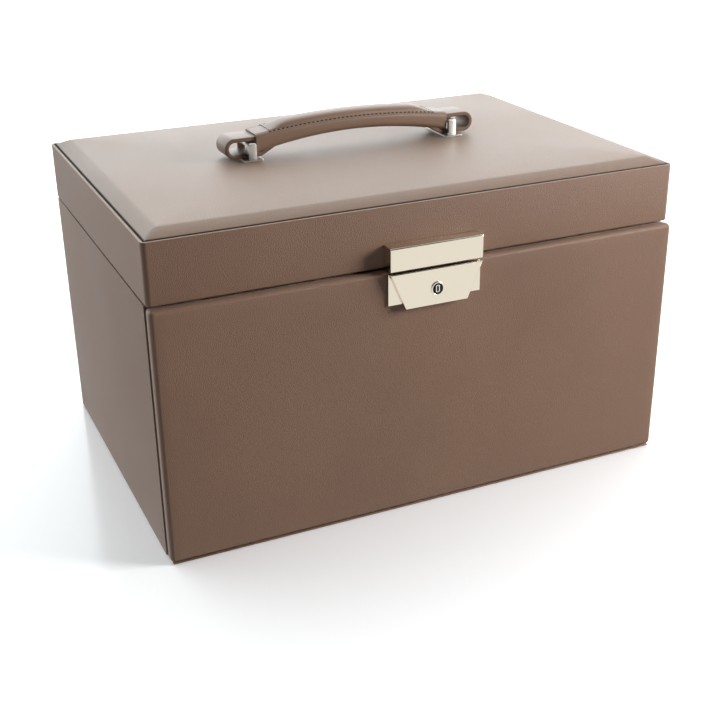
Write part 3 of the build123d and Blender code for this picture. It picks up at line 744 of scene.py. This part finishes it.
def make_rolls():
    """A row of padded rolls where the bed of rolls is in the frame."""
    lo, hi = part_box("ring_rolls")
    pitch = (hi.y - lo.y) / ROLL_COUNT
    for i in range(ROLL_COUNT):
        y0 = lo.y + pitch * i + ROLL_GAP + ROLL_CAP * 0.4
        y1 = lo.y + pitch * (i + 1) - ROLL_GAP - ROLL_CAP * 0.4
        bm = block((lo.x + ROLL_CAP, y0, lo.z), (hi.x - ROLL_CAP, y1, hi.z - ROLL_CAP))
        top = [e for e in bm.edges if all(v.co.z > hi.z - 2 * ROLL_CAP for v in e.verts)]
        round_edges(bm, top, ROLL_ROUND, 6)
        slice_along(bm, 0, spread(lo.x, hi.x, 40))
        slice_along(bm, 2, spread(lo.z, hi.z - ROLL_ROUND, 4))
        bmesh.ops.triangulate(bm, faces=[f for f in bm.faces if len(f.verts) > 4])
        nodes = ["ring_rolls"] if i == 0 else []
        roll = piece(bm, f"ring_roll_{i + 1}", "carcass", [roll_suede], nodes)
        inflate(roll, ROLL_PRESSURE, ROLL_CAP, ROLL_FRAMES)


make_rolls()
tell("ring rolls")

# %% [markdown]
# Around the rolls are suede partitions and two drawers, and inside the lid a mirror in a
# leather-wrapped frame. They are wrapped boards, so they get soft folded edges too.

# %% Partitions, mirror frame and drawers
inside = [("tray_partition", "carcass", suede, "suede", 0.8 * MM),
          ("tray_cross_partition", "carcass", suede, "suede", 0.8 * MM),
          ("tray_front_board", "carcass", suede, "suede", 0.5 * MM),
          ("mirror_frame", "lid", case_leather, "mirror_frame", 0.8 * MM),
          ("drawer_front_lower", "carcass", case_leather, "drawer_leather", 0.3 * MM),
          ("drawer_front_upper", "carcass", case_leather, "drawer_leather", 0.3 * MM),
          ("drawer_pull_lower", "carcass", pull_leather, "pull_leather", 0.35 * MM),
          ("drawer_pull_upper", "carcass", pull_leather, "pull_leather", 0.35 * MM)]
for node, body, mat, slot, width in inside:
    softened(node, body, mat, width)
tell("inside")

# %% [markdown]
# Everything else keeps its engineering shape and only needs its real finish. The base
# board has a leather finish, because a line of it shows under the lower drawer.

# %% Finishes on the remaining nodes
finishes = {
    suede: ["carcass_lining", "tray_lining", "drawer_lining_lower", "drawer_lining_upper",
            "lid_lining", "flap_lining", "tray_floor", "drawer_divider"],
    case_leather: ["base_board"],
    board: ["side_board_left", "side_board_right", "back_board", "lid_board_top", "lid_board_left",
            "lid_board_right", "lid_board_front", "lid_board_back", "flap_board",
            "drawer_box_lower", "drawer_box_upper"],
    felt: ["base_felt"],
    mirror: ["mirror_glass"],
    nickel: ["bracket_bolts"],
    zinc: ["hinge_leaves_carcass", "hinge_leaves_lid", "hinge_pins", "hinge_screws_carcass",
           "hinge_screws_lid", "latch_pin", "lock_cam", "catch_plate", "bracket_backing_plates",
           "handle_core"]}
for mat, nodes in finishes.items():
    for node in nodes:
        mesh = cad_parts[node].data
        mesh.materials.clear()
        mesh.materials.append(mat)
print("finished nodes", sum(len(nodes) for nodes in finishes.values()))

# %% [markdown]
# The floor is a pale acrylic sheet with a faint gloss. A glow that grows with distance
# lets it fade to white, as a curved studio sweep does. A white floor would also throw a
# lot of light up at the case and flatten its front. A Light Path node tells how a ray
# got there: rays from the camera see the real floor, reflections see it nearly white,
# and light that bounces off it is dim.

# %% Floor
FLOOR_SIZE = 6.0
FLOOR_GLOW = 0.13
FLOOR_BOUNCE = 0.2
FLOOR_MIRRORED = 0.95
GLOW_FROM, GLOW_TO = 0.5, 1.6
WHITE = (1, 1, 1, 1)


def make_floor():
    """Studio floor, which isn't part of the object."""
    bm = bmesh.new()
    bmesh.ops.create_grid(bm, x_segments=1, y_segments=1, size=FLOOR_SIZE)
    mesh = bpy.data.meshes.new("studio_floor")
    bm.to_mesh(mesh)
    bm.free()
    mat, tree, shader = new_material("white_acrylic_floor", 0.16, base="F7F6F6",
                                     Specular_IOR_Level=0.5)
    shader.inputs["Emission Color"].default_value = WHITE
    place = add(tree, "ShaderNodeTexCoord").outputs["Object"]
    away = add(tree, "ShaderNodeVectorMath", {"operation": "LENGTH"}, {0: place}).outputs["Value"]
    glow = ramped(tree, away, GLOW_FROM, GLOW_TO, FLOOR_GLOW, 1.0)
    tree.links.new(glow, shader.inputs["Emission Strength"])
    path = add(tree, "ShaderNodeLightPath")
    bounce = ramped(tree, path.outputs["Is Glossy Ray"], 0.0, 1.0,
                    FLOOR_BOUNCE, FLOOR_MIRRORED)
    dim = add(tree, "ShaderNodeEmission", None, {"Strength": bounce})
    mix = add(tree, "ShaderNodeMixShader", None,
              {0: path.outputs["Is Camera Ray"], 1: dim.outputs[0], 2: shader.outputs[0]})
    tree.links.new(mix.outputs[0], tree.nodes["Material Output"].inputs["Surface"])
    mesh.materials.append(mat)
    floor = bpy.data.objects.new("studio_floor", mesh)
    bpy.context.scene.collection.objects.link(floor)


make_floor()
print("floor", 2 * FLOOR_SIZE, "m across")

# %% [markdown]
# Leather and plating look like what they mirror. The surround is bright behind the case
# and nearly dark in front, so the lid carries a broad pale sheen while the front keeps
# its colour. The camera itself sees plain white. Two soft boxes help: a small one at the
# front right lights the front and the lock, and a large weak one lies high behind.

# %% Surround and soft boxes
WORLD_FRONT = 0.03
WORLD_BACK = 3.3
WORLD_LEFT = 0.7
DAYLIGHT = (0.955, 1.015, 1.035, 1)


def soft_box(name, place, aim, size, power):
    """A rectangular light that faces a point."""
    light = bpy.data.lights.new(name, "AREA")
    light.shape = "RECTANGLE"
    light.size, light.size_y = size
    light.energy = power
    obj = bpy.data.objects.new(name, light)
    obj.location = place
    obj.rotation_euler = (Vector(aim) - Vector(place)).to_track_quat("-Z", "Y").to_euler()
    bpy.context.scene.collection.objects.link(obj)


def make_surround():
    """Camera rays see white; the case sees a dome, bright behind and dim in front."""
    world = bpy.data.worlds.new("studio")
    bpy.context.scene.world = world
    world.use_nodes = True
    tree = world.node_tree
    tree.nodes.clear()
    way = add(tree, "ShaderNodeTexCoord").outputs["Generated"]
    parts = add(tree, "ShaderNodeSeparateXYZ", None, {"Vector": way})
    behind = ramped(tree, parts.outputs["Y"], -0.3, 0.9, WORLD_FRONT, WORLD_BACK)
    side = ramped(tree, parts.outputs["X"], -1.0, 1.0, WORLD_LEFT, 1.0)
    glow = add(tree, "ShaderNodeMath", {"operation": "MULTIPLY"}, {0: behind, 1: side}).outputs[0]
    seen = add(tree, "ShaderNodeBackground", None, {"Color": WHITE, "Strength": 1.0})
    lit = add(tree, "ShaderNodeBackground", None, {"Color": DAYLIGHT, "Strength": glow})
    path = add(tree, "ShaderNodeLightPath")
    mix = add(tree, "ShaderNodeMixShader", None,
              {0: path.outputs["Is Camera Ray"], 1: lit.outputs[0], 2: seen.outputs[0]})
    add(tree, "ShaderNodeOutputWorld", None, {"Surface": mix.outputs[0]})


make_surround()
soft_box("key_right", (0.95, -0.62, 0.5), (0.1, -0.1, 0.08), (0.45, 0.45), 18)
soft_box("back_top", (0.4, 1.9, 1.5), (0, 0, 0.15), (2.6, 1.6), 5)
print("lights", [light.name for light in bpy.data.lights])

# %% [markdown]
# The camera has a moderately long lens, at the front left and above the lid. It is aimed
# by a heading and a downward tilt, and rolled by less than a degree.

# %% Camera
CAMERA_PLACE = (-0.2888, -0.6582, 0.3737)
CAMERA_HEADING = math.radians(24.115)
CAMERA_TILT = math.radians(24.517)
CAMERA_ROLL = math.radians(0.789)
LENS_MM = 59.99
SENSOR_MM = 36.0


def make_camera():
    """The scene's camera."""
    data = bpy.data.cameras.new("camera")
    data.lens, data.sensor_width = LENS_MM, SENSOR_MM
    obj = bpy.data.objects.new("camera", data)
    obj.location = CAMERA_PLACE
    forward = Vector((math.sin(CAMERA_HEADING) * math.cos(CAMERA_TILT),
                      math.cos(CAMERA_HEADING) * math.cos(CAMERA_TILT), -math.sin(CAMERA_TILT)))
    turn = forward.to_track_quat("-Z", "Y").to_matrix() @ Matrix.Rotation(-CAMERA_ROLL, 3, "Z")
    obj.rotation_euler = turn.to_euler()
    bpy.context.scene.collection.objects.link(obj)
    bpy.context.scene.camera = obj


make_camera()
bpy.context.scene.view_settings.view_transform = "Standard"
print("camera", CAMERA_PLACE, "lens", LENS_MM)

# %% Sizes and finish
print("pieces", len(made), "faces", sum(n for _, n in made))
